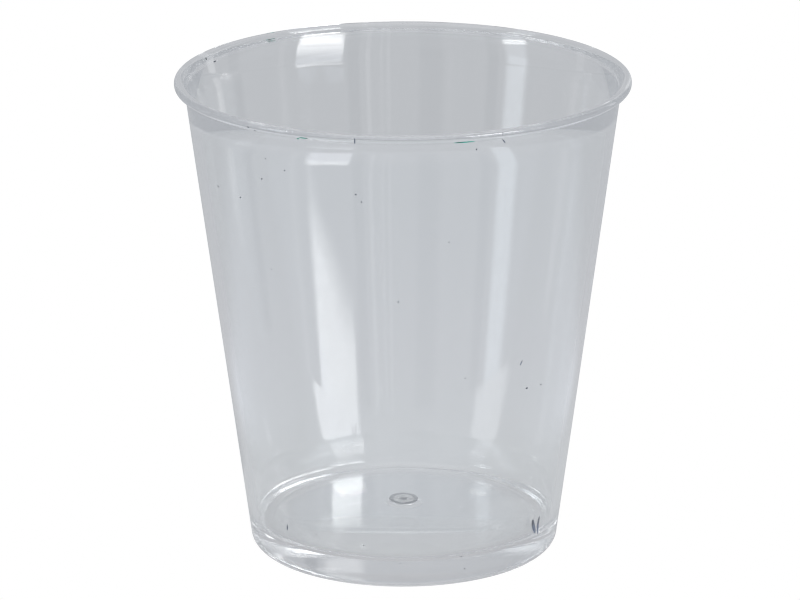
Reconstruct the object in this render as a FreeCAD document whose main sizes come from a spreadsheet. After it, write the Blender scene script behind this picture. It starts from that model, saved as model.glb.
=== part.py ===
"""Small one-piece shot glass, injection-moulded in clear polystyrene.

Frame: +Z up, millimetres, origin at the centre of the ring that it stands on.
The cup is a body of revolution about Z: a drafted wall whose inside flares into
the mouth, a thin everted lip with a round edge, a thick base whose floor is domed
inside and hollowed below, and the gate's witness mark in the middle of the underside.
"""

import FreeCAD, Part
import Sketcher
import os

PART_NAME = "shot_glass"

# Driving sizes, in millimetres. Each alias is one cell of the sheet.
SIZES = [
    ("cup_height", 46.0, "table to the top of the lip"),
    ("rim_diameter", 43.0, "outside of the lip"),
    ("base_diameter", 29.1, "outer wall carried down to the table, before the corner is rounded"),
    ("wall_thickness", 0.8, "square to the wall"),
    ("lip_overhang", 0.95, "lip past the outer wall"),
    ("lip_thickness", 0.85, "height of the lip's edge"),
    ("lip_width", 0.83, "top of the lip, from its outside to the mouth, edges still sharp"),
    ("lip_edge_radius", 0.38, "upper and lower edge of the lip"),
    ("lip_root_radius", 0.3, "hollow between the lip and the wall"),
    ("flare_depth", 3.7, "top of the lip down to where the inside starts to flare"),
    ("mouth_radius", 0.7, "inner edge of the mouth, where one drinks"),
    ("base_corner_radius", 1.3, "outer corner between the wall and the table"),
    ("foot_diameter", 24.8, "inner edge of the flat ring that it stands on"),
    ("underside_rise", 1.7, "hollow below the base, at the centre"),
    ("floor_height", 2.3, "edge of the inside floor above the table"),
    ("floor_rise", 2.85, "inside floor's dome, edge to centre"),
    ("floor_corner_radius", 1.0, "inside corner between the floor and the wall"),
    ("gate_diameter", 2.7, "sunk ring round the gate"),
    ("gate_depth", 0.35, "depth of that ring above the hollow"),
    ("gate_nib_diameter", 0.8, "stub that the snapped gate leaves"),
]

# Sketcher's own numbers for the points of a line or an arc, and for the axes of a sketch
START, END, CENTRE = range(1, 4)
HORIZONTAL_AXIS, VERTICAL_AXIS = range(-1, -3, -1)
ORIGIN_POINT = (HORIZONTAL_AXIS, START)


def make_sheet(doc):
    """Put every driving size into a spreadsheet cell with its alias."""
    sheet = doc.addObject("Spreadsheet::Sheet", "sizes")
    for row, (alias, value, note) in enumerate(SIZES, start=1):
        sheet.set(f"A{row}", alias)
        sheet.set(f"B{row}", str(value))
        sheet.setAlias(f"B{row}", alias)
        sheet.set(f"C{row}", note)
    doc.recompute()
    return sheet


def add_sketch(body, name):
    """Empty sketch on the body's own XZ plane: sketch x is the radius, y is the height."""
    sketch = body.newObject("Sketcher::SketchObject", name)
    plane = next(item for item in body.Origin.OriginFeatures if item.Role == "XZ_Plane")
    sketch.AttachmentSupport = [(plane, "")]
    sketch.MapMode = "FlatFace"
    return sketch


def add_line(sketch, start, end):
    first = FreeCAD.Vector(start[0], start[1], 0)
    last = FreeCAD.Vector(end[0], end[1], 0)
    return sketch.addGeometry(Part.LineSegment(first, last), False)


def add_dome(sketch, edge, top):
    """Shallow arc from its outer edge up to its top on the axis, centred on the axis."""
    rise = top[1] - edge[1]
    radius = (edge[0] ** 2 + rise ** 2) / (2 * rise)
    centre = FreeCAD.Vector(0, top[1] - radius, 0)
    middle_x = edge[0] / 2
    middle = FreeCAD.Vector(middle_x, centre.y + (radius ** 2 - middle_x ** 2) ** 0.5, 0)
    arc = Part.Arc(FreeCAD.Vector(edge[0], edge[1], 0), middle, FreeCAD.Vector(top[0], top[1], 0))
    return sketch.addGeometry(arc, False)


def add_flare(sketch, top, bottom, bottom_direction):
    """Arc from its top down to its bottom, where it runs on in the given direction."""
    across = FreeCAD.Vector(top[0] - bottom[0], top[1] - bottom[1], 0)
    outward = FreeCAD.Vector(-bottom_direction[1], bottom_direction[0], 0).normalize()
    radius = across.Length ** 2 / (2 * across.dot(outward))
    centre = FreeCAD.Vector(bottom[0], bottom[1], 0) + outward * radius
    halfway = (FreeCAD.Vector(top[0], top[1], 0) + FreeCAD.Vector(bottom[0], bottom[1], 0)) / 2
    middle = centre + (halfway - centre).normalize() * radius
    arc = Part.Arc(FreeCAD.Vector(top[0], top[1], 0), middle, FreeCAD.Vector(bottom[0], bottom[1], 0))
    return sketch.addGeometry(arc, False)


def join(sketch, first, first_point, second, second_point):
    sketch.addConstraint(Sketcher.Constraint("Coincident", first, first_point, second, second_point))


def on_axis(sketch, geometry, point, axis):
    sketch.addConstraint(Sketcher.Constraint("PointOnObject", geometry, point, axis))


def set_radius(sketch, name, geometry, point, expression, start_value):
    """Distance of a point from the axis, bound to the sheet."""
    index = sketch.addConstraint(
        Sketcher.Constraint("DistanceX", *ORIGIN_POINT, geometry, point, start_value))
    sketch.renameConstraint(index, name)
    sketch.setExpression("Constraints." + name, expression)


def set_height(sketch, name, geometry, point, expression, start_value):
    """Height of a point above the table, bound to the sheet."""
    index = sketch.addConstraint(
        Sketcher.Constraint("DistanceY", *ORIGIN_POINT, geometry, point, start_value))
    sketch.renameConstraint(index, name)
    sketch.setExpression("Constraints." + name, expression)


def draw_section(body, sheet):
    """Half section of the cup with sharp corners; returns the sketch and its corners."""
    rim = sheet.rim_diameter / 2
    wall_top = (rim - sheet.lip_overhang, sheet.cup_height - sheet.lip_thickness)
    foot = (sheet.foot_diameter / 2, 0)
    base = (sheet.base_diameter / 2, 0)
    under_lip = (rim, wall_top[1])
    lip_top = (rim, sheet.cup_height)
    mouth = (rim - sheet.lip_width, sheet.cup_height)
    slope = (wall_top[0] - base[0]) / wall_top[1]
    inside = base[0] - sheet.wall_thickness * (1 + slope ** 2) ** 0.5
    flare_height = sheet.cup_height - sheet.flare_depth
    flare_start = (inside + slope * flare_height, flare_height)
    floor_edge = (inside + slope * sheet.floor_height, sheet.floor_height)
    floor_top = (0, sheet.floor_height + sheet.floor_rise)
    underside_top = (0, sheet.underside_rise)

    sketch = add_sketch(body, "cup_section")
    underside = add_dome(sketch, foot, underside_top)
    foot_ring = add_line(sketch, foot, base)
    outer_wall = add_line(sketch, base, wall_top)
    lip_underside = add_line(sketch, wall_top, under_lip)
    lip_edge = add_line(sketch, under_lip, lip_top)
    lip_face = add_line(sketch, lip_top, mouth)
    flare = add_flare(sketch, mouth, flare_start, (-slope, -1))
    inner_wall = add_line(sketch, flare_start, floor_edge)
    floor = add_dome(sketch, floor_edge, floor_top)
    axis_line = add_line(sketch, floor_top, underside_top)

    for first, second in [(foot_ring, outer_wall), (outer_wall, lip_underside),
                          (lip_underside, lip_edge), (lip_edge, lip_face), (lip_face, flare)]:
        join(sketch, first, END, second, START)
    sketch.addConstraint(Sketcher.Constraint("Tangent", flare, END, inner_wall, START))
    join(sketch, underside, START, foot_ring, START)
    join(sketch, inner_wall, END, floor, START)
    join(sketch, floor, END, axis_line, START)
    join(sketch, axis_line, END, underside, END)

    on_axis(sketch, foot_ring, START, HORIZONTAL_AXIS)
    for dome in (underside, floor):
        on_axis(sketch, dome, CENTRE, VERTICAL_AXIS)
        on_axis(sketch, dome, END, VERTICAL_AXIS)
    for level in (foot_ring, lip_underside, lip_face):
        sketch.addConstraint(Sketcher.Constraint("Horizontal", level))
    sketch.addConstraint(Sketcher.Constraint("Vertical", lip_edge))
    sketch.addConstraint(Sketcher.Constraint("Parallel", inner_wall, outer_wall))

    set_radius(sketch, "foot_radius", foot_ring, START, "sizes.foot_diameter / 2", foot[0])
    set_radius(sketch, "base_radius", foot_ring, END, "sizes.base_diameter / 2", base[0])
    set_radius(sketch, "wall_top_radius", outer_wall, END,
               "sizes.rim_diameter / 2 - sizes.lip_overhang", wall_top[0])
    set_radius(sketch, "rim_radius", lip_edge, END, "sizes.rim_diameter / 2", rim)
    set_radius(sketch, "mouth_radius", flare, START, "sizes.rim_diameter / 2 - sizes.lip_width", mouth[0])
    set_height(sketch, "wall_top_height", outer_wall, END,
               "sizes.cup_height - sizes.lip_thickness", wall_top[1])
    set_height(sketch, "rim_height", lip_edge, END, "sizes.cup_height", lip_top[1])
    set_height(sketch, "flare_height", inner_wall, START,
               "sizes.cup_height - sizes.flare_depth", flare_start[1])
    set_height(sketch, "floor_edge_height", floor, START, "sizes.floor_height", floor_edge[1])
    set_height(sketch, "floor_top_height", floor, END,
               "sizes.floor_height + sizes.floor_rise", floor_top[1])
    set_height(sketch, "underside_height", underside, END, "sizes.underside_rise", underside_top[1])
    thickness = sketch.addConstraint(
        Sketcher.Constraint("Distance", inner_wall, END, outer_wall, sheet.wall_thickness))
    sketch.renameConstraint(thickness, "wall")
    sketch.setExpression("Constraints.wall", "sizes.wall_thickness")

    body.Document.recompute()
    corners = {
        "foot": sketch.getPoint(foot_ring, START),
        "base": sketch.getPoint(foot_ring, END),
        "lip_root": sketch.getPoint(outer_wall, END),
        "lip_lower": sketch.getPoint(lip_edge, START),
        "lip_upper": sketch.getPoint(lip_edge, END),
        "mouth": sketch.getPoint(flare, START),
        "floor_edge": sketch.getPoint(inner_wall, END),
    }
    return sketch, corners


def draw_gate_ring(body, sheet):
    """Section of the ring sunk into the underside round the gate, from the table up."""
    inner = sheet.gate_nib_diameter / 2
    outer = sheet.gate_diameter / 2
    top = sheet.underside_rise + sheet.gate_depth

    sketch = add_sketch(body, "gate_section")
    points = [(inner, 0), (outer, 0), (outer, top), (inner, top)]
    sides = [add_line(sketch, points[i], points[(i + 1) % 4]) for i in range(4)]
    for i in range(4):
        join(sketch, sides[i], END, sides[(i + 1) % 4], START)
    on_axis(sketch, sides[0], START, HORIZONTAL_AXIS)
    for level in (sides[0], sides[2]):
        sketch.addConstraint(Sketcher.Constraint("Horizontal", level))
    for upright in (sides[1], sides[3]):
        sketch.addConstraint(Sketcher.Constraint("Vertical", upright))
    set_radius(sketch, "nib_radius", sides[0], START, "sizes.gate_nib_diameter / 2", inner)
    set_radius(sketch, "gate_radius", sides[0], END, "sizes.gate_diameter / 2", outer)
    set_height(sketch, "gate_top", sides[1], END,
               "sizes.underside_rise + sizes.gate_depth", top)
    body.Document.recompute()
    return sketch


def revolve(body, sketch, kind, name):
    """Full turn of a sketch about its upright axis: a Revolution adds, a Groove cuts."""
    feature = body.newObject(kind, name)
    feature.Profile = sketch
    feature.ReferenceAxis = (sketch, ["V_Axis"])
    feature.Angle = 360.0
    body.Document.recompute()
    return feature


def ring_edge(shape, corner):
    """Name of the circular edge that passes through a corner of the section."""
    for number, edge in enumerate(shape.Edges, start=1):
        if edge.Degenerated or not isinstance(edge.Curve, Part.Circle):
            continue
        same_radius = abs(edge.Curve.Radius - corner.x) < 1e-4
        same_height = abs(edge.Curve.Center.z - corner.y) < 1e-4
        if same_radius and same_height:
            return f"Edge{number}"
    raise RuntimeError(f"no edge at radius {corner.x:.3f}, height {corner.y:.3f}")


def round_edges(body, name, corners, radius):
    """Fillet the circular edges at these corners with a radius read from the sheet."""
    base = body.Tip
    fillet = body.newObject("PartDesign::Fillet", name)
    fillet.Base = (base, [ring_edge(base.Shape, corner) for corner in corners])
    fillet.setExpression("Radius", radius)
    body.Document.recompute()
    return fillet


def build_cup(doc, sheet):
    """The cup: one turn of its section, the gate's ring, then every rounded edge."""
    body = doc.addObject("PartDesign::Body", PART_NAME)
    body.Label = PART_NAME
    section, corners = draw_section(body, sheet)
    shell = revolve(body, section, "PartDesign::Revolution", "cup_turn")
    solid_before = shell.Shape.Volume

    gate_ring = draw_gate_ring(body, sheet)
    sunk = revolve(body, gate_ring, "PartDesign::Groove", "gate_ring")
    if not sunk.Shape.Volume < solid_before:
        raise RuntimeError("the gate's ring cuts nothing")

    round_edges(body, "base_corner", [corners["base"]],
                "min(sizes.base_corner_radius; 0.9 * (sizes.base_diameter - sizes.foot_diameter) / 2)")
    round_edges(body, "floor_corner", [corners["floor_edge"]], "sizes.floor_corner_radius")
    round_edges(body, "lip_root", [corners["lip_root"]],
                "min(sizes.lip_root_radius; 0.45 * sizes.lip_overhang)")
    round_edges(body, "lip_edges", [corners["lip_lower"], corners["lip_upper"]],
                "min(sizes.lip_edge_radius; 0.45 * sizes.lip_thickness; 0.47 * sizes.lip_width)")
    round_edges(body, "mouth_edge", [corners["mouth"]],
                "min(sizes.mouth_radius; 0.85 * sizes.lip_width)")
    body.Placement = FreeCAD.Placement()
    return body


def check(doc, body):
    """Stop before anything is written if a feature failed or the solid is not sound."""
    for item in doc.Objects:
        if "Invalid" in item.State or "Error" in item.State:
            raise RuntimeError(f"{item.Name} failed: {item.State}")
    shape = body.Shape
    if shape.isNull() or not shape.isValid() or len(shape.Solids) != 1:
        raise RuntimeError("the cup is not one valid solid")


def main():
    doc = FreeCAD.newDocument("shot_glass_model")
    sheet = make_sheet(doc)
    cup = build_cup(doc, sheet)
    doc.recompute()
    check(doc, cup)

    os.makedirs("parts", exist_ok=True)
    cup.Shape.exportStep(f"parts/{cup.Label}.step")
    box = cup.Shape.optimalBoundingBox(True, False)
    print(f"{cup.Label}: {box.XLength:.2f} x {box.YLength:.2f} x {box.ZLength:.2f} mm,"
          f" {cup.Shape.Volume:.0f} mm3 of plastic, {len(cup.Shape.Faces)} faces")


main()
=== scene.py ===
# %% [markdown]
# # A small clear shot glass
# The real thing is one piece: clear polystyrene, shot into a polished steel mould in a second or two.
# Nothing on it is painted or assembled, so its whole look is what the clear plastic does to the light
# of the room. The lesson therefore goes: size from the frame, outline, wall, plastic, marks of use,
# and then a room worth reflecting.

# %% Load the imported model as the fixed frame
import math

import bpy
from mathutils import Matrix, Vector


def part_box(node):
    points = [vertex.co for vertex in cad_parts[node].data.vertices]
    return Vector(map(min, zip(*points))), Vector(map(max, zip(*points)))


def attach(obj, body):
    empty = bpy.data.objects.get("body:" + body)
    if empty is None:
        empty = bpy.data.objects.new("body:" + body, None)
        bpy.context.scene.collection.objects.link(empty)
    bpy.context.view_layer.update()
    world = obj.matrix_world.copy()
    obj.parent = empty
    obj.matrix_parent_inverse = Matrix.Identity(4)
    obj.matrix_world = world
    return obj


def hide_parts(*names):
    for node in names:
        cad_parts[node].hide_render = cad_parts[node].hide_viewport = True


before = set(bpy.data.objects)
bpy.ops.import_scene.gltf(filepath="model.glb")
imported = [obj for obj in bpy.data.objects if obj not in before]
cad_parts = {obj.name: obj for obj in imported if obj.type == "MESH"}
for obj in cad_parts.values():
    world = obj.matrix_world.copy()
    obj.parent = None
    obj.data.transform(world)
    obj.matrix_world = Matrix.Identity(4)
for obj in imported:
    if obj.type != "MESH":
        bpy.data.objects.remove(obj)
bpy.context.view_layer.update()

MM = 0.001                                   # the scene is in metres, the cup is drawn in millimetres
CUP = "shot_glass"
BODY = "root"
cup_low, cup_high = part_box(CUP)
RIM_RADIUS = (cup_high.x - cup_low.x) / 2 / MM
CUP_HEIGHT = (cup_high.z - cup_low.z) / MM
print(f"frame: {2 * RIM_RADIUS:.1f} mm across the lip, {CUP_HEIGHT:.1f} mm tall")

# %% [markdown]
# ## Three small helpers
# Colours are written as the sRGB hex values that a colour picker shows, and Blender computes in
# linear light, so one function turns the first into the second. The next adds a node to any tree,
# shader or geometry: it sets the node's own properties, then fills each input with a value or a link.
# The last one is a soft mask. It says where something is by its edges, each of which fades over a
# distance, because nothing on a moulded cup or in a lit room stops at a sharp line.

# %% Colour, node and mask helpers
def linear(hex_colour, strength=1.0):
    """Linear RGBA from an sRGB value such as "#c8ccd2", times a strength where it is a light."""
    channels = [int(hex_colour[i:i + 2], 16) / 255 for i in (1, 3, 5)]
    channels = [c / 12.92 if c <= 0.04045 else ((c + 0.055) / 1.055) ** 2.4 for c in channels]
    return [strength * c for c in channels] + [1.0]


def add_node(tree, kind, settings=None, inputs=None):
    """Add a node; inputs maps a socket's name or number to a value or to another node's output."""
    node = tree.nodes.new(kind)
    for name, value in (settings or {}).items():
        setattr(node, name, value)
    for key, value in (inputs or {}).items():
        if isinstance(value, bpy.types.NodeSocket):
            tree.links.new(value, node.inputs[key])
        else:
            node.inputs[key].default_value = value
    return node


def mask(tree, measures, edges, strength=1.0):
    """Soft mask: the strength inside all of its edges, 0 outside any of them.

    Each edge names one of the measures, its value outside the edge, and its value inside.
    """
    for name, outside, inside in edges:
        edge = add_node(tree, "ShaderNodeMapRange", {"interpolation_type": "SMOOTHSTEP"},
                        {"Value": measures[name], "From Min": outside, "From Max": inside})
        strength = add_node(tree, "ShaderNodeMath", {"operation": "MULTIPLY"},
                            {0: edge.outputs[0], 1: strength}).outputs[0]
    return strength


# %% [markdown]
# ## The outline
# A cup like this is a body of revolution: half of its section, turned once about the upright axis,
# is the whole shape. The section has few features, each with a reason in the mould. The wall leans
# outwards so that the cup drops off its core. The lip is turned out and rounded for the mouth. The
# base is the thickest place, because the plastic enters there, and its floor bulges upwards while
# the underside is hollow, so that the cup stands on a ring and never rocks.
# The corners are given sharp, each with the radius that rounds it.

# %% Sizes of the section, in millimetres
BASE_RADIUS = 14.55          # outer wall carried down to the table
WALL = 0.8
LIP_OVERHANG = 0.95
LIP_THICKNESS = 0.85
LIP_WIDTH = 0.83             # top of the lip, from its outside to the mouth
LIP_EDGE_RADIUS = 0.38
LIP_ROOT_RADIUS = 0.3
FLARE_DEPTH = 3.7            # the inside starts to flare this far below the top
MOUTH_RADIUS = 0.7
BASE_CORNER_RADIUS = 1.3
FOOT_RADIUS = 12.4           # inner edge of the ring that it stands on
UNDERSIDE_RISE = 1.7         # how far the hollow underside rises in the middle
FLOOR_HEIGHT = 2.3           # edge of the floor inside
FLOOR_RISE = 2.85            # how far the floor bulges up in the middle
FLOOR_CORNER_RADIUS = 1.0
GATE_RADIUS = 1.35           # sunk ring in the underside, where the plastic came in
GATE_DEPTH = 0.35
GATE_DROP = 0.01             # the hollow has come down this much at the edge of the gate
GATE_NIB_RADIUS = 0.4        # stub in the middle of the gate
GATE_EDGE_RADIUS = 0.08

WALL_TOP = (RIM_RADIUS - LIP_OVERHANG, CUP_HEIGHT - LIP_THICKNESS)
SLOPE = (WALL_TOP[0] - BASE_RADIUS) / WALL_TOP[1]
WALL_TILT = math.atan(SLOPE)


def outer_radius(height):
    return BASE_RADIUS + SLOPE * height


def inner_radius(height):
    return outer_radius(height) - WALL / math.cos(WALL_TILT)


print(f"section: the wall leans {math.degrees(WALL_TILT):.1f} degrees from upright")


# %% [markdown]
# Clear plastic is unforgiving. A long flat quad with a rounded edge at each end takes its shading
# from normals blended along its whole length, which bends the light like a lens and moves everything
# seen through it. So each straight run is cut into short steps, with two extra rings close to each
# end that pin the shading to the true direction.

# %% Rounded, evenly stepped outline
def dome(edge_radius, edge_height, rise, steps):
    """Shallow spherical cap from the axis out to its edge."""
    ball = (edge_radius ** 2 + rise ** 2) / (2 * rise)
    radii = [edge_radius * i / steps for i in range(steps + 1)]
    return [(r, edge_height + rise - ball + math.sqrt(ball ** 2 - r ** 2)) for r in radii]


def rounded(before, corner, after, radius, steps):
    """Arc that replaces a sharp corner, from the first side to the second."""
    corner = Vector(corner)
    side_in = (Vector(before) - corner).normalized()
    side_out = (Vector(after) - corner).normalized()
    half = side_in.angle(side_out) / 2
    middle = (side_in + side_out).normalized()
    centre = corner + middle * (radius / math.sin(half))
    start = corner + side_in * (radius / math.tan(half)) - centre
    end = corner + side_out * (radius / math.tan(half)) - centre
    turn = start.angle_signed(end)
    return [centre + Matrix.Rotation(-turn * i / steps, 2) @ start for i in range(steps + 1)]


def arc(centre, radius, start, end, steps):
    angles = [start + (end - start) * i / steps for i in range(steps + 1)]
    return [centre + radius * Vector((math.cos(a), math.sin(a))) for a in angles]


def flare():
    """Arc that runs on from the straight inner wall to the mouth, then the mouth's rounded edge."""
    start = Vector((inner_radius(CUP_HEIGHT - FLARE_DEPTH), CUP_HEIGHT - FLARE_DEPTH))
    mouth = Vector((RIM_RADIUS - LIP_WIDTH, CUP_HEIGHT))
    outward = Vector((math.cos(WALL_TILT), -math.sin(WALL_TILT)))
    across = mouth - start
    big = across.length_squared / (2 * across.dot(outward))
    big_centre = start + outward * big
    edge_height = CUP_HEIGHT - MOUTH_RADIUS
    meeting = math.asin((edge_height - big_centre.y) / (big - MOUTH_RADIUS))
    edge_centre = Vector((big_centre.x - (big - MOUTH_RADIUS) * math.cos(meeting), edge_height))
    wall_arc = arc(big_centre, big, math.pi - WALL_TILT, math.pi - meeting, steps=16)
    edge_arc = arc(edge_centre, MOUTH_RADIUS, math.pi - meeting, math.pi / 2, steps=8)
    return wall_arc + edge_arc[1:]


def stepped(points, long_run=1.0, longest=0.7, pins=(0.02, 0.06)):
    """Cut long runs into short steps, with pinning rings near both ends."""
    result = [Vector(points[0])]
    for point in points[1:]:
        start = result[-1]
        run = Vector(point) - start
        length = run.length
        if length > long_run:
            cuts = int(length / longest)
            places = [i / cuts for i in range(1, cuts)]
            places += [p / length for p in pins] + [1 - p / length for p in pins]
            result += [start + run * place for place in sorted(places)]
        result.append(Vector(point))
    return result


# %% The whole half section
FLOOR_CLEARANCE = 1.7 * FLOOR_CORNER_RADIUS  # each dome stops this far short of its corner,
GATE_CLEARANCE = 3 * GATE_EDGE_RADIUS        # to leave room for the arc that rounds it


def gate_outline(underside):
    """The sunk ring and its stub, each corner before, at and after the arc that rounds it."""
    gate_top = UNDERSIDE_RISE + GATE_DEPTH
    corners = [underside, (GATE_RADIUS, UNDERSIDE_RISE - GATE_DROP), (GATE_RADIUS, gate_top),
               (GATE_NIB_RADIUS, gate_top), (GATE_NIB_RADIUS, UNDERSIDE_RISE), (0.0, UNDERSIDE_RISE)]
    points = []
    for before, corner, after in zip(corners, corners[1:], corners[2:]):
        points += rounded(before, corner, after, GATE_EDGE_RADIUS, steps=4)
    return points + [corners[-1]]


def cup_outline():
    """Half section, from the middle of the floor over the lip to the middle of the underside."""
    floor = dome(inner_radius(FLOOR_HEIGHT), FLOOR_HEIGHT, FLOOR_RISE, steps=36)
    floor_edge = floor[-1]
    floor = [p for p in floor if p[0] < inner_radius(FLOOR_HEIGHT) - FLOOR_CLEARANCE]
    underside = dome(FOOT_RADIUS, 0.0, UNDERSIDE_RISE, steps=40)
    underside = [p for p in underside if p[0] > GATE_RADIUS + GATE_CLEARANCE]
    opening = flare()
    lip_upper = (RIM_RADIUS, CUP_HEIGHT)
    lip_lower = (RIM_RADIUS, WALL_TOP[1])
    base = (BASE_RADIUS, 0.0)
    foot = (FOOT_RADIUS, 0.0)

    points = list(floor)
    points += rounded(floor[-1], floor_edge, opening[0], FLOOR_CORNER_RADIUS, steps=8)
    points += opening
    points += rounded(opening[-1], lip_upper, lip_lower, LIP_EDGE_RADIUS, steps=8)
    points += rounded(lip_upper, lip_lower, WALL_TOP, LIP_EDGE_RADIUS, steps=8)
    points += rounded(lip_lower, WALL_TOP, base, LIP_ROOT_RADIUS, steps=6)
    points += rounded(WALL_TOP, base, foot, BASE_CORNER_RADIUS, steps=12)
    points += [foot]
    points += reversed(underside[:-1])
    points += gate_outline(underside[0])
    return stepped(points)


outline_points = cup_outline()
outline_mesh = bpy.data.meshes.new("cup_outline")
outline_mesh.from_pydata([(p[0] * MM, 0.0, p[1] * MM) for p in outline_points],
                         [(i, i + 1) for i in range(len(outline_points) - 1)], [])
outline = bpy.data.objects.new("cup_outline", outline_mesh)
bpy.context.scene.collection.objects.link(outline)
print(f"outline: {len(outline_points)} points")

# %% [markdown]
# ## Turning the outline
# The lathe is a Geometry Nodes tree. A flat grid has one row for each point of the outline and one
# column for each step round the axis. Each grid point looks up its outline point by row, and is
# turned about Z by its column. Merging by distance then closes the seam and the two poles.

# %% Outline turned into a closed shell
SEAM = 0.001 * MM            # points nearer than this are merged


def new_tree(name, inputs):
    """A geometry tree and its named inputs: the geometry to start from, then these."""
    tree = bpy.data.node_groups.new(name, "GeometryNodeTree")
    for label, kind in {"Geometry": "Geometry", **inputs}.items():
        tree.interface.new_socket(label, in_out="INPUT", socket_type="NodeSocket" + kind)
    tree.interface.new_socket("Geometry", in_out="OUTPUT", socket_type="NodeSocketGeometry")
    return tree, add_node(tree, "NodeGroupInput").outputs


def turned_shell(tree, given, place):
    """The outline that is given, turned once round Z and closed."""
    size = add_node(tree, "GeometryNodeAttributeDomainSize", inputs={"Geometry": given["Geometry"]})
    columns = add_node(tree, "ShaderNodeMath", {"operation": "ADD"}, {0: given["Sides"], 1: 1.0})
    grid = add_node(tree, "GeometryNodeMeshGrid", inputs={
        "Vertices X": size.outputs["Point Count"], "Vertices Y": columns.outputs[0]})
    index = add_node(tree, "GeometryNodeInputIndex").outputs[0]
    ratio = add_node(tree, "ShaderNodeMath", {"operation": "DIVIDE"},
                     {0: index, 1: columns.outputs[0]})
    row = add_node(tree, "ShaderNodeMath", {"operation": "FLOOR"}, {0: ratio.outputs[0]})
    column = add_node(tree, "ShaderNodeMath", {"operation": "FLOORED_MODULO"},
                      {0: index, 1: columns.outputs[0]})
    share = add_node(tree, "ShaderNodeMath", {"operation": "DIVIDE"},
                     {0: column.outputs[0], 1: given["Sides"]})
    angle = add_node(tree, "ShaderNodeMath", {"operation": "MULTIPLY"},
                     {0: share.outputs[0], 1: math.tau})
    point = add_node(tree, "GeometryNodeSampleIndex", {"data_type": "FLOAT_VECTOR"}, {
        "Geometry": given["Geometry"], "Value": place, "Index": row.outputs[0]})
    turned = add_node(tree, "ShaderNodeVectorRotate", {"rotation_type": "Z_AXIS"}, {
        "Vector": point.outputs["Value"], "Angle": angle.outputs[0]})
    shell = add_node(tree, "GeometryNodeSetPosition", inputs={
        "Geometry": grid.outputs["Mesh"], "Position": turned.outputs[0]})
    closed = add_node(tree, "GeometryNodeMergeByDistance", inputs={
        "Geometry": shell.outputs[0], "Distance": SEAM})
    return closed.outputs[0]


# %% [markdown]
# A moulded wall is never quite true: the plastic shrinks as it cools and leaves long shallow waves,
# stretched along the flow, a hundredth of a millimetre deep. They hardly show in the outline, but
# they make every reflection in the wall waver, as on the real cup. A coarse noise moves each point
# in or out along its normal, and fades out before the base and the lip, which are stiffer.

# %% Shrinkage waves in the wall
WAVE_STRETCH = (1.0, 1.0, 0.3)               # less along Z makes the waves longer up the wall
NOISE_LOW, NOISE_HIGH = 0.3, 0.7             # nearly all of the noise lies between these


def shrinkage(tree, given, place):
    """How far each point moves, and which way."""
    height = add_node(tree, "ShaderNodeSeparateXYZ", inputs={0: place}).outputs["Z"]
    frequency = add_node(tree, "ShaderNodeMath", {"operation": "DIVIDE"},
                         {0: 1.0, 1: given["Wave width"]})
    stretched = add_node(tree, "ShaderNodeVectorMath", {"operation": "MULTIPLY"},
                         {0: place, 1: WAVE_STRETCH})
    noise = add_node(tree, "ShaderNodeTexNoise", inputs={
        "Vector": stretched.outputs[0], "Scale": frequency.outputs[0], "Detail": 1.0})
    swing = add_node(tree, "ShaderNodeMapRange", inputs={
        "Value": noise.outputs[0], "From Min": NOISE_LOW, "From Max": NOISE_HIGH,
        "To Min": -1.0, "To Max": 1.0})
    depth = mask(tree, {"height": height}, [
        ("height", given["Wave start"], given["Wave full from"]),
        ("height", given["Wave end"], given["Wave full to"])], strength=given["Wave depth"])
    amount = add_node(tree, "ShaderNodeMath", {"operation": "MULTIPLY"},
                      {0: swing.outputs[0], 1: depth})
    outward = add_node(tree, "GeometryNodeInputNormal").outputs[0]
    return add_node(tree, "ShaderNodeVectorMath", {"operation": "SCALE"},
                    {0: outward, "Scale": amount.outputs[0]}).outputs[0]


# %% Lathe tree
def lathe_tree():
    tree, given = new_tree("lathe", {
        "Sides": "Int", "Wave depth": "Float", "Wave width": "Float", "Wave start": "Float",
        "Wave full from": "Float", "Wave full to": "Float", "Wave end": "Float",
        "Material": "Material"})
    place = add_node(tree, "GeometryNodeInputPosition").outputs[0]
    wavy = add_node(tree, "GeometryNodeSetPosition", inputs={
        "Geometry": turned_shell(tree, given, place), "Offset": shrinkage(tree, given, place)})
    smooth = add_node(tree, "GeometryNodeSetShadeSmooth", inputs={"Geometry": wavy.outputs[0]})
    real = add_node(tree, "GeometryNodeRealizeInstances", inputs={0: smooth.outputs[0]})
    dressed = add_node(tree, "GeometryNodeSetMaterial", inputs={
        "Geometry": real.outputs[0], "Material": given["Material"]})
    add_node(tree, "NodeGroupOutput", inputs={0: dressed.outputs[0]})
    print(f"lathe: {len(tree.nodes)} nodes")
    return tree


def run_tree(carrier, tree, values, name):
    """Evaluate a tree on its carrier with these named inputs, and keep the result as a plain mesh."""
    modifier = carrier.modifiers.new(tree.name, "NODES")
    modifier.node_group = tree
    for item in tree.interface.items_tree:
        if item.item_type == "SOCKET" and item.in_out == "INPUT" and item.name in values:
            modifier[item.identifier] = values[item.name]
    evaluated = carrier.evaluated_get(bpy.context.evaluated_depsgraph_get())
    mesh = bpy.data.meshes.new_from_object(evaluated)
    mesh.name = name
    piece = bpy.data.objects.new(name, mesh)
    bpy.context.scene.collection.objects.link(piece)
    bpy.data.objects.remove(carrier)
    return piece
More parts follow.
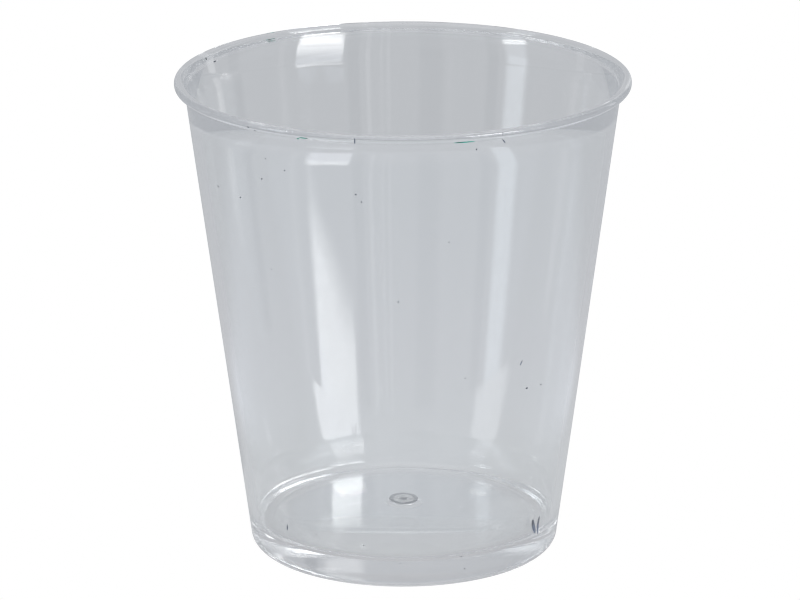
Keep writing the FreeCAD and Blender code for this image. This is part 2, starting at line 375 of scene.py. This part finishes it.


# %% [markdown]
# ## The plastic
# Crystal polystyrene is almost as clear as glass and bends light more, with an index of 1.59, which
# is why a cheap cup glitters so much. Its surface copies a polished mould, so it is very smooth, and
# then handling and stacking leave hair-fine scuffs. The eye gets sharp reflections, a base that works
# like a thick lens, and a faint cool grey where light has passed through a lot of plastic; that grey
# is painted light, a glow the surface gives off at every touch.
# Three places differ. The ring that the cup stands on is worn, the inside corner is where a mould is
# hard to polish, and the sunk gate where the plastic was torn off is painted dark as shade, round a
# whitened ring.

# %% Places on the plastic
# Edges in millimetres: what is measured, its value outside the place, its value inside
FOOT = [("height", 0.9, 0.2)]                                # the ring that the cup stands on
CORNER = [("height", 3.9, 3.1), ("height", 1.6, 2.0),
          ("radius", 12.2, 12.8), ("radius", 14.3, 14.1)]    # where the floor meets the wall
GATE = [("radius", 1.4, 1.25), ("height", 2.4, 2.2)]         # where the plastic came in
WHITENED = GATE + [("radius", 0.98, 0.88), ("radius", 0.3, 0.45)]    # strained ring in the gate


def measured(tree):
    """A place on a piece in millimetres: its vector, the three parts of it, and its radius."""
    metres = add_node(tree, "ShaderNodeTexCoord").outputs["Object"]
    place = add_node(tree, "ShaderNodeVectorMath", {"operation": "SCALE"},
                     {0: metres, "Scale": 1 / MM}).outputs[0]
    parts = add_node(tree, "ShaderNodeSeparateXYZ", inputs={0: place}).outputs
    flat = add_node(tree, "ShaderNodeVectorMath", {"operation": "MULTIPLY"},
                    {0: place, 1: (1.0, 1.0, 0.0)})
    radius = add_node(tree, "ShaderNodeVectorMath", {"operation": "LENGTH"}, {0: flat.outputs[0]})
    return place, parts, radius.outputs["Value"]


def added_up(tree, start, amounts):
    """A number over the surface: the start, plus each amount where its mask is."""
    for where, amount in amounts:
        start = add_node(tree, "ShaderNodeMath", {"operation": "MULTIPLY_ADD"},
                         {0: where, 1: amount, 2: start}).outputs[0]
    return start


def laid_over(tree, colour, layers):
    """A colour over the surface: the first one, with each layer laid on where its mask is."""
    for where, layer in layers:
        colour = add_node(tree, "ShaderNodeMix", {"data_type": "RGBA"},
                          {"Factor": where, "A": colour, "B": layer}).outputs["Result"]
    return colour


# %% Hair-fine scuffs
# Millimetres across and along a group of scuffs: a single scuff is too fine to show
SCUFF_WIDTH = 1.11
SCUFF_LENGTH = 3.85
SCUFF_STARTS, SCUFF_DEEPEST = 0.62, 0.8      # of the noise: most of the wall keeps its polish
FINE_SCUFF = 0.03            # roughness of the deepest of them


def fine_scuffs(tree, place):
    groups = add_node(tree, "ShaderNodeVectorMath", {"operation": "DIVIDE"},
                      {0: place, 1: (SCUFF_WIDTH, SCUFF_WIDTH, SCUFF_LENGTH)})
    scuffs = add_node(tree, "ShaderNodeTexNoise", inputs={
        "Vector": groups.outputs[0], "Scale": 1.0, "Detail": 4.0, "Roughness": 0.6})
    return add_node(tree, "ShaderNodeMapRange", inputs={
        "Value": scuffs.outputs[0], "From Min": SCUFF_STARTS, "From Max": SCUFF_DEEPEST,
        "To Min": 0.0, "To Max": FINE_SCUFF}).outputs[0]


# %% Crystal polystyrene, polished mould, lightly handled
FOOT_SCUFF = 0.25            # roughness of the worn foot
CORNER_SCUFF = 0.12          # of the inside corner
GATE_SCUFF = 0.5             # and of the whitened ring in the gate
BENDING = 1.59               # index of refraction of polystyrene
CLEAR_COLOUR = "#fcfdfd"
GATE_SHADE_COLOUR = "#44484f"    # painted shade in the sunk gate, a dark grey
WHITENED_COLOUR = "#ffffff"  # plastic strained white
GATE_SHADE_CLOUD = 0.6           # share of the light that the painted shade in the gate doesn't let through
WHITENED_CLOUD = 0.3         # the same of the whitened ring
# Painted light: the plastic gives off a faint cool grey glow, mixed in at every touch of the surface,
# so that light kept inside for many turns shows grey instead of black
PAINTED_GLOW_SHARE = 0.045                 # share of the light that each touch of the surface replaces
PAINTED_GLOW_COLOUR = "#c8ccd2"      # the painted glow that replaces it, a cool grey
PAINTED_GLOW_STRENGTH = 1.05


def new_material(name):
    """An empty node material and its tree."""
    material = bpy.data.materials.new(name)
    material.use_nodes = True
    material.node_tree.nodes.clear()
    return material, material.node_tree


def crystal_polystyrene():
    material, tree = new_material("crystal_polystyrene")
    place, parts, radius = measured(tree)
    foot, corner, gate, whitened = (
        mask(tree, {"height": parts["Z"], "radius": radius}, edges)
        for edges in (FOOT, CORNER, GATE, WHITENED))
    scuffed = added_up(tree, fine_scuffs(tree, place), [
        (foot, FOOT_SCUFF), (corner, CORNER_SCUFF), (whitened, GATE_SCUFF)])
    # In the sunk gate the plastic carries painted shade, dark and less clear, round the whitened ring
    clear = added_up(tree, 1.0, [
        (gate, -GATE_SHADE_CLOUD), (whitened, GATE_SHADE_CLOUD - WHITENED_CLOUD)])
    colour = laid_over(tree, linear(CLEAR_COLOUR), [
        (gate, linear(GATE_SHADE_COLOUR)), (whitened, linear(WHITENED_COLOUR))])
    surface = add_node(tree, "ShaderNodeBsdfPrincipled", inputs={
        "Base Color": colour, "IOR": BENDING, "Transmission Weight": clear, "Roughness": scuffed})
    # Painted glow: a cool grey emission mixed into the surface at every touch
    painted_glow = add_node(tree, "ShaderNodeEmission", inputs={
        "Color": linear(PAINTED_GLOW_COLOUR), "Strength": PAINTED_GLOW_STRENGTH})
    with_painted_glow = add_node(tree, "ShaderNodeMixShader", inputs={
        0: PAINTED_GLOW_SHARE, 1: surface.outputs[0], 2: painted_glow.outputs[0]})
    add_node(tree, "ShaderNodeOutputMaterial", inputs={"Surface": with_painted_glow.outputs[0]})
    material.cycles.emission_sampling = "NONE"
    print(f"{material.name}: {len(tree.nodes)} nodes")
    return material


plastic = crystal_polystyrene()

# %% Turn the cup
cup = run_tree(outline, lathe_tree(), {
    "Sides": 256, "Wave depth": 0.012 * MM, "Wave width": 11 * MM, "Wave start": 6 * MM,
    "Wave full from": 12 * MM, "Wave full to": 40 * MM, "Wave end": 43 * MM,
    "Material": plastic}, "cup")
cup_triangles = sum(len(face.vertices) - 2 for face in cup.data.polygons)
print(f"cup: {cup_triangles} triangles")
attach(cup, BODY)
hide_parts(CUP)

# %% [markdown]
# ## Marks of use
# A cup that has been handled and stacked carries specks of dust, and small teal flakes. Each mark is
# a
# flake pressed on the surface: a ball squeezed to the mark's width, height and thickness, turned to
# lie on the wall, and roughened so that no two look alike. The places are given as a turn from the
# front and a height.

# %% Marks tree
RAG_SIZE = 0.2               # millimetres across a bump in a flake's outline


def marks_tree():
    tree, given = new_tree("marks", {"Raggedness": "Float", "Material": "Material"})
    ball = add_node(tree, "GeometryNodeMeshIcoSphere", inputs={"Radius": 0.5, "Subdivisions": 3})
    size, turn = (
        add_node(tree, "GeometryNodeInputNamedAttribute", {"data_type": "FLOAT_VECTOR"},
                 {"Name": name}) for name in ("size", "turn"))
    facing = add_node(tree, "FunctionNodeEulerToRotation", inputs={0: turn.outputs[0]})
    flakes = add_node(tree, "GeometryNodeInstanceOnPoints", inputs={
        "Points": given["Geometry"], "Instance": ball.outputs[0],
        "Rotation": facing.outputs[0], "Scale": size.outputs[0]})
    real = add_node(tree, "GeometryNodeRealizeInstances", inputs={0: flakes.outputs[0]})
    place = add_node(tree, "GeometryNodeInputPosition").outputs[0]
    noise = add_node(tree, "ShaderNodeTexNoise", inputs={
        "Vector": place, "Scale": 1 / (RAG_SIZE * MM), "Detail": 2.0})
    centred = add_node(tree, "ShaderNodeVectorMath", {"operation": "SUBTRACT"},
                       {0: noise.outputs["Color"], 1: (0.5, 0.5, 0.5)})
    offset = add_node(tree, "ShaderNodeVectorMath", {"operation": "SCALE"},
                      {0: centred.outputs[0], "Scale": given["Raggedness"]})
    ragged = add_node(tree, "GeometryNodeSetPosition", inputs={
        "Geometry": real.outputs[0], "Offset": offset.outputs[0]})
    dressed = add_node(tree, "GeometryNodeSetMaterial", inputs={
        "Geometry": ragged.outputs[0], "Material": given["Material"]})
    add_node(tree, "NodeGroupOutput", inputs={0: dressed.outputs[0]})
    print(f"marks: {len(tree.nodes)} nodes")
    return tree


# %% Where a mark lies on the cup, in millimetres
LIP_SINK = 0.02              # a mark on the lip is pressed in this far
LIP_INSET = 0.3              # on the far side it lies this far inside the rim
FLARE_BEND = 0.059           # the flare leaves the straight wall by this times its height squared


def front_radius(height):
    """Outside of the cup: the wall, or the lip with its rounded lower edge."""
    below = WALL_TOP[1] + LIP_EDGE_RADIUS - height
    if below > LIP_EDGE_RADIUS:
        return outer_radius(height)
    edge = math.sqrt(LIP_EDGE_RADIUS ** 2 - max(0, below) ** 2)
    return RIM_RADIUS - LIP_EDGE_RADIUS + edge - LIP_SINK


def back_radius(height):
    """Inside of the far wall, or the far side of the lip."""
    if height >= WALL_TOP[1]:
        return RIM_RADIUS - LIP_INSET
    return inner_radius(height) + FLARE_BEND * max(0, height - CUP_HEIGHT + FLARE_DEPTH) ** 2


# %% Flakes of one colour
FLAKE = 0.05                 # millimetres, the thickness of a flake
RAGGEDNESS = 0.06            # how far its outline wanders
MARK_GRAIN = 1 / 9            # across a grain of its colour


def mark_material(name, colours):
    """Dust or a teal flake, dull and grainy, between two colours."""
    material, tree = new_material(name + "_on_plastic")
    place = add_node(tree, "ShaderNodeTexCoord").outputs["Object"]
    grain = add_node(tree, "ShaderNodeTexNoise", inputs={
        "Vector": place, "Scale": 1 / (MARK_GRAIN * MM), "Detail": 3.0})
    shade = laid_over(tree, linear(colours[0]), [(grain.outputs[0], linear(colours[1]))])
    surface = add_node(tree, "ShaderNodeBsdfPrincipled", inputs={
        "Base Color": shade, "Roughness": 0.6, "IOR": 1.45})
    add_node(tree, "ShaderNodeOutputMaterial", inputs={"Surface": surface.outputs[0]})
    return material


def marks(name, places, colours, tree):
    """Flakes at these places: turn, height, width, length and tilt, in degrees and millimetres."""
    spots, sizes, turns = [], [], []
    for turn, height, width, length, tilt in places:
        radius = front_radius(height) if abs(turn) < 90 else back_radius(height)
        lean = -WALL_TILT if height < WALL_TOP[1] else 0.0
        around = math.radians(turn)
        spots.append((radius * MM * math.sin(around), -radius * MM * math.cos(around), height * MM))
        sizes += [width * MM, FLAKE * MM, length * MM]
        turns += [lean, math.radians(tilt), around]
    mesh = bpy.data.meshes.new(name)
    mesh.from_pydata(spots, [], [])
    for label, values in (("size", sizes), ("turn", turns)):
        mesh.attributes.new(label, "FLOAT_VECTOR", "POINT").data.foreach_set("vector", values)
    carrier = bpy.data.objects.new(name, mesh)
    bpy.context.scene.collection.objects.link(carrier)
    piece = run_tree(carrier, tree, {
        "Raggedness": RAGGEDNESS * MM, "Material": mark_material(name, colours)}, name)
    print(f"{name}: {len(places)} marks, {len(piece.data.polygons)} faces")
    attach(piece, BODY)
    return piece


# %% Specks, strokes and teal flakes
SPECKS = [
    (-32.5, 41.6, 0.12, 0.12, 0), (-40.5, 40.3, 0.13, 0.18, 20), (-50, 37.8, 0.16, 0.14, 0),
    (-61, 38, 0.26, 0.1, 30), (-38.5, 42.4, 0.1, 0.1, 0), (-12.5, 40, 0.16, 0.11, 20),
    (-11, 39.3, 0.1, 0.15, -20), (-1.5, 29.5, 0.12, 0.15, 0), (12.5, 35.3, 0.1, 0.1, 0),
    (19, 44.2, 0.12, 0.16, 0), (42, 19.3, 0.26, 0.16, 0), (48.5, 19.2, 0.14, 0.14, 0),
    (19, 21.5, 0.1, 0.1, 0), (-40.5, 31.4, 0.12, 0.08, 0), (-41, 45.5, 0.2, 0.14, 0),
    (-39, 45.3, 0.14, 0.14, 0), (-117, 45.1, 0.5, 0.16, 0), (-115, 45.2, 0.25, 0.12, 0),
    (-45, 8.8, 0.12, 0.16, 0), (-33, 4.9, 0.1, 0.14, 0), (-14.5, 4.5, 0.1, 0.12, 0),
    (-1.5, 2.8, 0.1, 0.1, 0), (21, 3.1, 0.14, 0.1, 0), (22.5, 1.8, 0.1, 0.1, 0),
]
STROKES = [
    (38.6, 22.1, 0.12, 0.55, 35), (-46.5, 4.8, 0.14, 0.65, 0), (-11.7, 45.5, 0.12, 0.5, 0),
    (26.5, 44.7, 0.12, 0.5, -35), (54, 4.3, 0.5, 1.5, -13), (57, 4.2, 0.34, 1.75, 16),
]
TEAL_MARKS = [
    (-143, 45.85, 1.2, 0.16, 0), (-25, 45.35, 0.8, 0.12, 0), (15, 45.25, 2.0, 0.14, 0),
    (-26.5, 45.2, 0.3, 0.16, 0),
]
TEAL_MARK_CORES = [(-142.5, 45.88, 0.4, 0.12, 0), (-24, 45.37, 0.3, 0.08, 0), (14, 45.27, 0.9, 0.08, 0)]

flakes_tree = marks_tree()
marks("dust_specks", SPECKS, ("#3a3f48", "#5d636c"), flakes_tree)
marks("rubbed_strokes", STROKES, ("#5a6172", "#7a8290"), flakes_tree)
marks("teal_flakes", TEAL_MARKS, ("#1f9a86", "#5cc0b0"), flakes_tree)
marks("dark_teal_flakes", TEAL_MARK_CORES, ("#1c3a3a", "#2f5552"), flakes_tree)

# %% [markdown]
# ## The room
# Clear plastic shows nothing of its own. What we see in it is the room: a large window to the right,
# with bright panes above and below its sill, a narrower one to the left, a lamp overhead, and upright
# strips of lighter and darker wall between them. The room is therefore drawn in the world shader, by
# direction: the turn from the front, which is -Y, towards the right, and the rise above the horizon.
# The camera itself sees plain white.

# %% Lights and walls of the room
ROOM_GREY = "#bdbfc3"        # walls, where no light or strip lies
# Each light: turn from, turn to, lower edge at each of them, upper edge (degrees), softness across,
# softness along, brightness, colour. A dark stretch of wall has a brightness below zero.
WINDOWS = [
    # window to the right: a soft wide pane, a brighter one high in it, the dull view under them,
    # and two bright strips below its sill
    (33, 63, 7.0, 7.0, 37.0, 1.5, 18.0, 7.4, "#ffffff"),
    (33, 63, 22.0, 22.0, 39.0, 4.0, 6.0, 7.0, "#ffffff"),
    (33, 63, 0.0, -1.55, 22.0, 1.5, 0.3, 0.9, "#e6f4ff"),
    (33, 63, -5.2, -5.2, -2.4, 3.0, 1.2, 3.6, "#ffffff"),
    (33, 63, -9.5, -9.5, -4.0, 1.5, 0.8, 2.4, "#f8f8ff"),
    # window to the left, further off: a bright band high in it, and the whole of it, dull
    (-76, -58, 24.0, 24.0, 30.0, 3.0, 1.5, 6.0, "#ffffff"),
    (-76, -58, -13.0, -13.0, 39.0, 5.0, 1.0, 1.8, "#f0f8ff"),
    # lamp overhead, all round
    (-180, 180, 55.0, 55.0, 120.0, 1.0, 12.0, 0.7, "#ffffff"),
]
# Upright strips of wall, lighter or darker: turn, width, brightness
STRIPS = [
    (161, 17, 0.2), (148, 8, -0.1), (127, 9, 0.9), (107, 11, -0.3), (72, 5, 0.35),
    (28, 9, -0.35), (19.5, 3.6, 0.5), (12, 2.4, 0.25), (8, 2.6, 0.35), (-16, 18, -0.3),
    (-52, 9, -0.35), (-114, 9, 0.35),
]
STRIP_FOOT, STRIP_TOP, STRIP_SOFTNESS = -10.0, 50.0, 2.0


def strip_light(turn, width, power):
    """A strip of wall, written as the windows are. Its sides fade over a quarter of its width."""
    return (turn - width / 2, turn + width / 2, STRIP_FOOT, STRIP_FOOT, STRIP_TOP,
            width / 4, STRIP_SOFTNESS, power, "#ffffff")


LIGHTS = WINDOWS + [strip_light(*strip) for strip in STRIPS]

# %% Room seen by direction
def turn_of(tree, parts):
    """Turn of a place or a direction about Z, in degrees, from the front towards the right."""
    towards = add_node(tree, "ShaderNodeMath", {"operation": "MULTIPLY"}, {0: parts["Y"], 1: -1.0})
    turn = add_node(tree, "ShaderNodeMath", {"operation": "ARCTAN2"},
                    {0: parts["X"], 1: towards.outputs[0]})
    degrees = add_node(tree, "ShaderNodeMath", {"operation": "DEGREES"}, {0: turn.outputs[0]})
    return degrees.outputs[0]


def add_light(tree, so_far, turn, rise, light):
    """The room's light so far, plus that of one window or strip."""
    left, right, sill_left, sill_right, top, soft_turn, soft_rise, power, colour = light
    sill = add_node(tree, "ShaderNodeMapRange", inputs={
        "Value": turn, "From Min": left, "From Max": right,
        "To Min": sill_left, "To Max": sill_right})
    above = add_node(tree, "ShaderNodeMath", {"operation": "SUBTRACT"},
                     {0: rise, 1: sill.outputs[0]})
    strength = mask(tree, {"turn": turn, "rise": rise, "above sill": above.outputs[0]}, [
        ("turn", left, left + soft_turn), ("turn", right, right - soft_turn),
        ("above sill", 0.0, soft_rise), ("rise", top, top - soft_rise)], strength=power)
    tinted = add_node(tree, "ShaderNodeVectorMath", {"operation": "SCALE"},
                      {0: linear(colour)[:3], "Scale": strength})
    return add_node(tree, "ShaderNodeVectorMath", {"operation": "ADD"},
                    {0: so_far, 1: tinted.outputs[0]}).outputs[0]


def room_world():
    world = bpy.data.worlds.new("room")
    world.use_nodes = True
    tree = world.node_tree
    tree.nodes.clear()
    direction = add_node(tree, "ShaderNodeTexCoord").outputs["Generated"]
    parts = add_node(tree, "ShaderNodeSeparateXYZ", inputs={0: direction}).outputs
    turn = turn_of(tree, parts)
    radians = add_node(tree, "ShaderNodeMath", {"operation": "ARCSINE"}, {0: parts["Z"]})
    rise = add_node(tree, "ShaderNodeMath", {"operation": "DEGREES"}, {0: radians.outputs[0]})
    room = linear(ROOM_GREY)[:3]
    for light in LIGHTS:
        room = add_light(tree, room, turn, rise.outputs[0], light)
    lit = add_node(tree, "ShaderNodeBackground", inputs={"Color": room})
    seen = add_node(tree, "ShaderNodeBackground", inputs={"Color": linear("#ffffff")})
    camera_ray = add_node(tree, "ShaderNodeLightPath").outputs["Is Camera Ray"]
    both = add_node(tree, "ShaderNodeMixShader", inputs={
        0: camera_ray, 1: lit.outputs[0], 2: seen.outputs[0]})
    add_node(tree, "ShaderNodeOutputWorld", inputs={"Surface": both.outputs[0]})
    return world


scene = bpy.context.scene
scene.world = room_world()
print(f"room: {len(WINDOWS)} lights and {len(STRIPS)} strips of wall")

# %% [markdown]
# ## The table
# The cup stands on a white sheet that burns out to pure white. Two discs play that sheet. The large
# one is what the camera sees. The small one is what the plastic sees: a grey card, only as bright as
# the sheet looks through the cup. It is brightest in front of the cup and on both sides of it, where
# it is seen steeply, and dark in front of the foot, where the cup's own shadow lies. Seen at a flat
# angle it has the gloss of paper, under each of the two windows.

# %% Floor that the camera sees
FLOOR_RADIUS = 3000          # millimetres
FLOOR_LEVEL = -0.2           # just under the card, which is just under the foot


def disc(name, radius, height, material, sides=128):
    """A flat disc of the stage, with its sizes in millimetres."""
    angles = [math.tau * i / sides for i in range(sides)]
    mesh = bpy.data.meshes.new(name)
    mesh.from_pydata([(radius * MM * math.cos(a), radius * MM * math.sin(a), height * MM)
                      for a in angles], [], [tuple(range(sides))])
    mesh.materials.append(material)
    piece = bpy.data.objects.new(name, mesh)
    scene.collection.objects.link(piece)
    print(f"{name}: {2 * radius} mm across")
    return piece


def give_off(tree, light):
    """Make a sheet give off this light, which is one colour or the output of a pattern."""
    glow = add_node(tree, "ShaderNodeEmission", inputs={"Color": light})
    add_node(tree, "ShaderNodeOutputMaterial", inputs={"Surface": glow.outputs[0]})


white_sheet, sheet_tree = new_material("white_sheet")
give_off(sheet_tree, linear("#ffffff"))
floor = disc("floor", FLOOR_RADIUS, FLOOR_LEVEL, white_sheet)
floor.visible_diffuse = False
floor.visible_glossy = False
floor.visible_transmission = False
floor.visible_shadow = False

# %% Light of the card
CARD_RADIUS = 120
CARD_LEVEL = -0.1
# Radius in millimetres and the card's own light there, which ends as grey as the walls
CARD_GREYS = [
    (1, "#bfc0c2"), (11.5, "#bcbcbf"), (14.6, "#bcbcbf"), (17, "#c5c7ca"), (30, "#c6c8cb"),
    (60, "#c3c4c8"), (118, ROOM_GREY),
]
CARD_BRIGHT = linear("#f1f6ff", 1.06)        # lit sheet round the cup
CARD_SHADE = linear("#656769")               # the cup's own shadow
BESIDE_STRENGTH = 0.6                        # share of CARD_BRIGHT that the sides get
# Gloss under each window: turn from, turn to (degrees), light
CARD_SHEENS = [(34, 76, 4.02), (-88, -55, 2.16)]
SHEEN_COLOUR = "#fcfcff"
SHEEN_SOFTNESS = 5
# Edges as on the plastic, in millimetres. Flatness runs from 0, seen from above, to 1, edge on.
FRONT = [("y", -10, -36)]
BESIDE = [("aside", 28, 42), ("y", 50, 15)]
SEEN_STEEPLY = [("flatness", 0.72, 0.63), ("radius", 118, 98)]
SHADE = [("radius", 21, 15.5), ("y", 2, -8), ("radius", 14.2, 15.2)]
SEEN_FLAT = [("flatness", 0.74, 0.86), ("radius", 15, 19)]

# %% Card that the plastic sees
def greys_by_radius(tree, radius):
    """The card's own light, from its middle to its edge."""
    across = add_node(tree, "ShaderNodeMath", {"operation": "DIVIDE"}, {0: radius, 1: CARD_RADIUS})
    grey = add_node(tree, "ShaderNodeValToRGB", inputs={0: across.outputs[0]})
    stops = grey.color_ramp.elements
    for place, colour in CARD_GREYS:
        stops.new(place / CARD_RADIUS).color = linear(colour)
    stops.remove(stops[0])
    stops.remove(stops[-1])
    return grey.outputs[0]


def card_light(tree):
    """Light of the card: its greys, the bright sheet round the cup, the shadow, then the gloss."""
    _, parts, radius = measured(tree)
    aside = add_node(tree, "ShaderNodeMath", {"operation": "ABSOLUTE"}, {0: parts["X"]})
    facing = add_node(tree, "ShaderNodeLayerWeight", inputs={"Blend": 0.5})
    measures = {"radius": radius, "y": parts["Y"], "aside": aside.outputs[0],
                "turn": turn_of(tree, parts), "flatness": facing.outputs["Facing"]}
    round_cup = add_node(tree, "ShaderNodeMath", {"operation": "MAXIMUM"}, {
        0: mask(tree, measures, FRONT), 1: mask(tree, measures, BESIDE, BESIDE_STRENGTH)})
    layers = [(mask(tree, measures, SEEN_STEEPLY, round_cup.outputs[0]), CARD_BRIGHT),
              (mask(tree, measures, SHADE), CARD_SHADE)]
    for left, right, power in CARD_SHEENS:
        under_window = [("turn", left, left + SHEEN_SOFTNESS),
                        ("turn", right, right - SHEEN_SOFTNESS)]
        layers.append((mask(tree, measures, SEEN_FLAT + under_window),
                       linear(SHEEN_COLOUR, power)))
    return laid_over(tree, greys_by_radius(tree, radius), layers)


grey_card, card_tree = new_material("grey_card")
give_off(card_tree, card_light(card_tree))
card = disc("card", CARD_RADIUS, CARD_LEVEL, grey_card)
card.visible_camera = False

# %% [markdown]
# ## The camera
# A small product is shown from well back through a long lens, slightly from above, so that the
# mouth shows as a flat ellipse and the wall keeps its true taper.

# %% Camera
CAMERA_DISTANCE = 474.8      # millimetres in front of the axis
CAMERA_HEIGHT = 170.4
AIM = Vector((-0.33, 0.0, 24.0)) * MM
ROLL = math.radians(-0.17)   # held a touch off level
FOCAL_LENGTH = 234.9         # on a full-frame sensor
SENSOR_WIDTH = 36.0

lens = bpy.data.cameras.new("camera")
lens.lens = FOCAL_LENGTH
lens.sensor_width = SENSOR_WIDTH
lens.clip_start = 0.01
camera = bpy.data.objects.new("camera", lens)
camera.location = (0.0, -CAMERA_DISTANCE * MM, CAMERA_HEIGHT * MM)
looking = (AIM - camera.location).to_track_quat("-Z", "Y")
camera.rotation_mode = "QUATERNION"
camera.rotation_quaternion = looking @ Matrix.Rotation(ROLL, 3, "Z").to_quaternion()
scene.collection.objects.link(camera)
scene.camera = camera
scene.view_settings.view_transform = "Standard"
down = math.atan2(camera.location.z - AIM.z, CAMERA_DISTANCE * MM)
print(f"camera: looks down by {math.degrees(down):.1f} degrees")

# %% [markdown]
# Light goes in and out of clear plastic many times before it reaches the camera. Too few turns leave
# black holes, so the limits are raised.

# %% Light paths
PATH_TURNS = 24
scene.cycles.max_bounces = PATH_TURNS
scene.cycles.transmission_bounces = PATH_TURNS
scene.cycles.glossy_bounces = PATH_TURNS
scene.cycles.filter_width = 1.2              # a little sharper than the default
print(f"light paths: up to {PATH_TURNS} turns")
